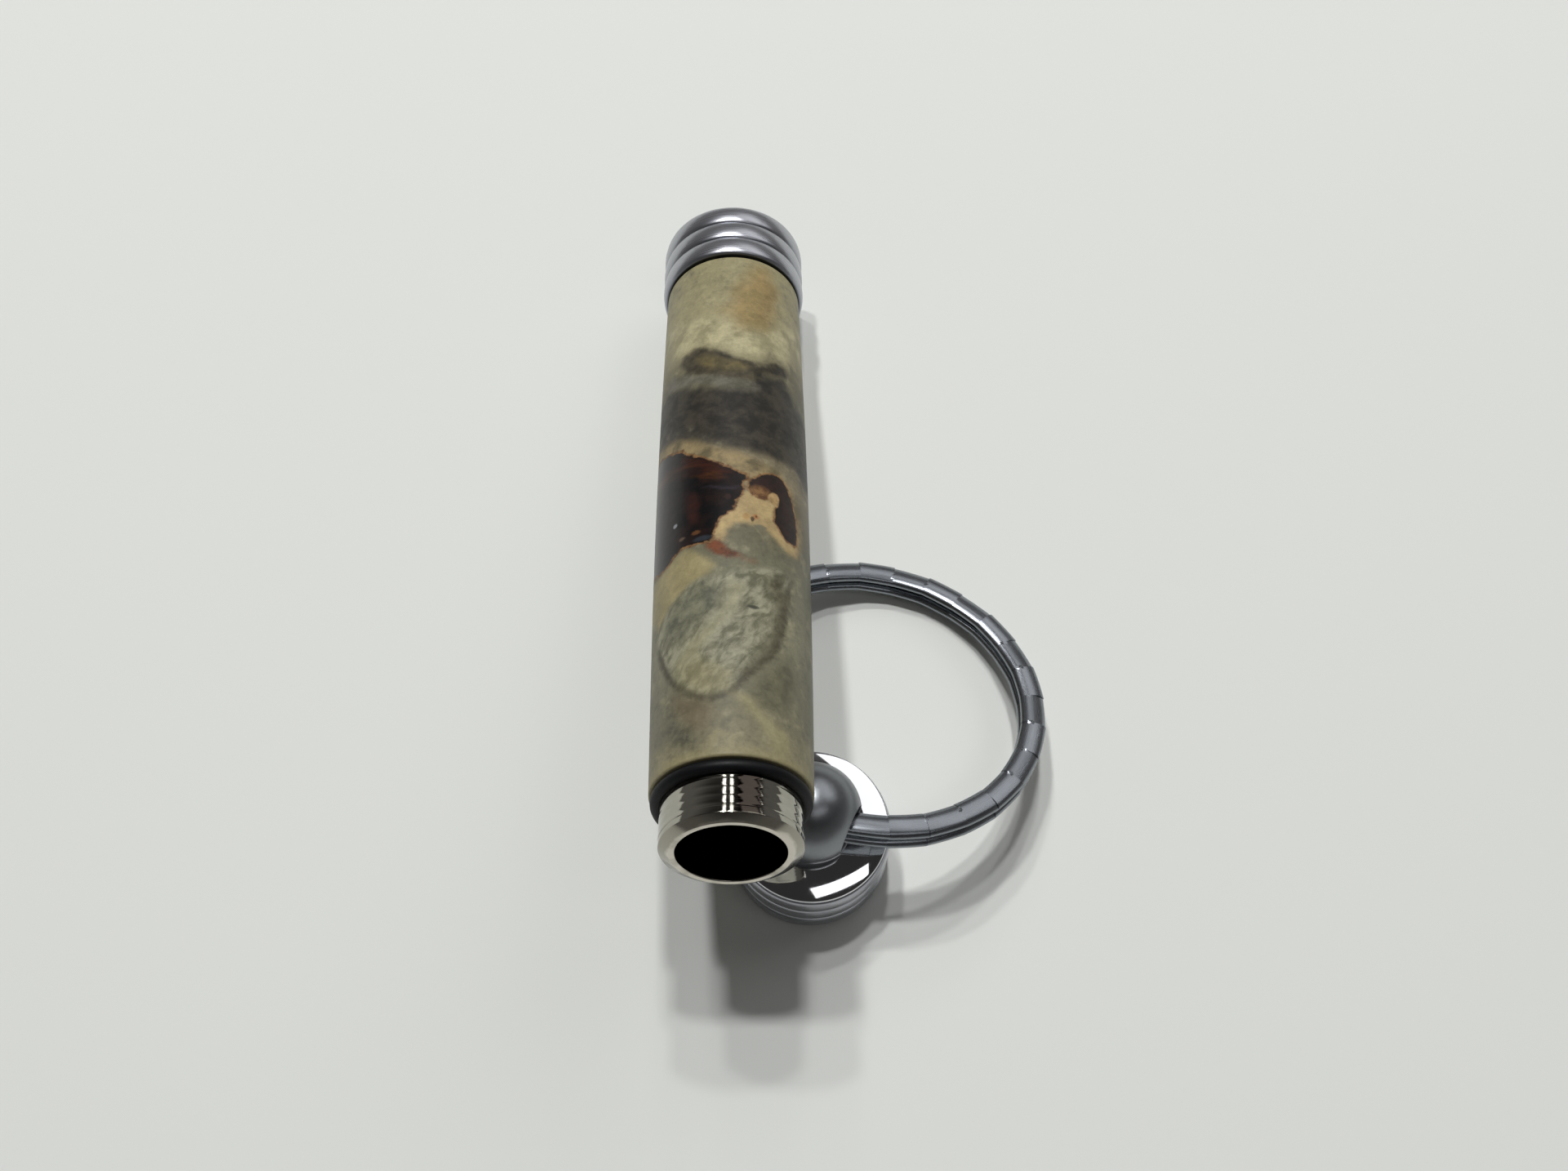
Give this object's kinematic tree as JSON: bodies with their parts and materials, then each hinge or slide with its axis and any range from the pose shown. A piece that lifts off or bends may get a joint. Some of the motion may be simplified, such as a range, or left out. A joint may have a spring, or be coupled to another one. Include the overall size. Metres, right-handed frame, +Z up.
{
  "type": "secret compartment keychain",
  "caption": "Wooden keychain barrel with a hidden compartment, open beside its beaded screw cap, whose ball post carries a wavy split ring.",
  "frame": {"origin": "middle of the bounding box, on the surface that the cap stands on", "axes": "+Z up; +Y runs from the open mouth towards the barrel's far end, seen from above (the barrel lies 1 degree off it and slopes 12.7 degrees down to it); +X towards the split ring's free side"},
  "size_m": [0.0396, 0.0778, 0.0302],
  "materials": {
    "burl_wood": "turned burl, sanded and lacquered to a satin gloss",
    "brass": "drawn tube, plain",
    "bright_nickel": "bright nickel plate over a turned thread",
    "black_rubber": "moulded, slightly shiny",
    "satin_chrome": "satin chrome plate over turned beads",
    "polished_chrome": "mirror polish",
    "plain_steel": "plain stamped steel",
    "nickel_wire": "nickel plate over stamped flat wire"
  },
  "bodies": {
    "cap": {"screw_cap": "satin_chrome", "cap_dome": "polished_chrome", "ring_post": "satin_chrome", "post_washer": "plain_steel"},
    "seal": {"o_ring": "black_rubber"},
    "barrel": {"wooden_barrel": "burl_wood", "brass_tube": "brass", "threaded_coupler": "bright_nickel", "end_cap": "satin_chrome"},
    "key_ring": {"split_ring": "nickel_wire"}
  },
  "joints": [
    {"name": "barrel_travel", "type": "slide", "parent": "cap", "child": "seal", "axis": [0.0175, -0.9754, 0.2199], "range_m": [0, 0.00443]},
    {"name": "barrel_turn", "type": "hinge", "parent": "seal", "child": "barrel", "pos_m": [-0.01079, -0.03764, 0.02425], "axis": [0.0175, -0.9754, 0.2199], "range_deg": [0, 1944]},
    {"name": "ring_turn", "type": "hinge", "parent": "cap", "child": "key_ring", "pos_m": [0.00235, -0.01632, 0.00705], "axis": [0.1328, 0.2968, 0.9457], "continuous": true}
  ],
  "couplings": [
    {"joint": "barrel_turn", "follows": "barrel_travel", "rad_per_m": 7662.4}
  ]
}
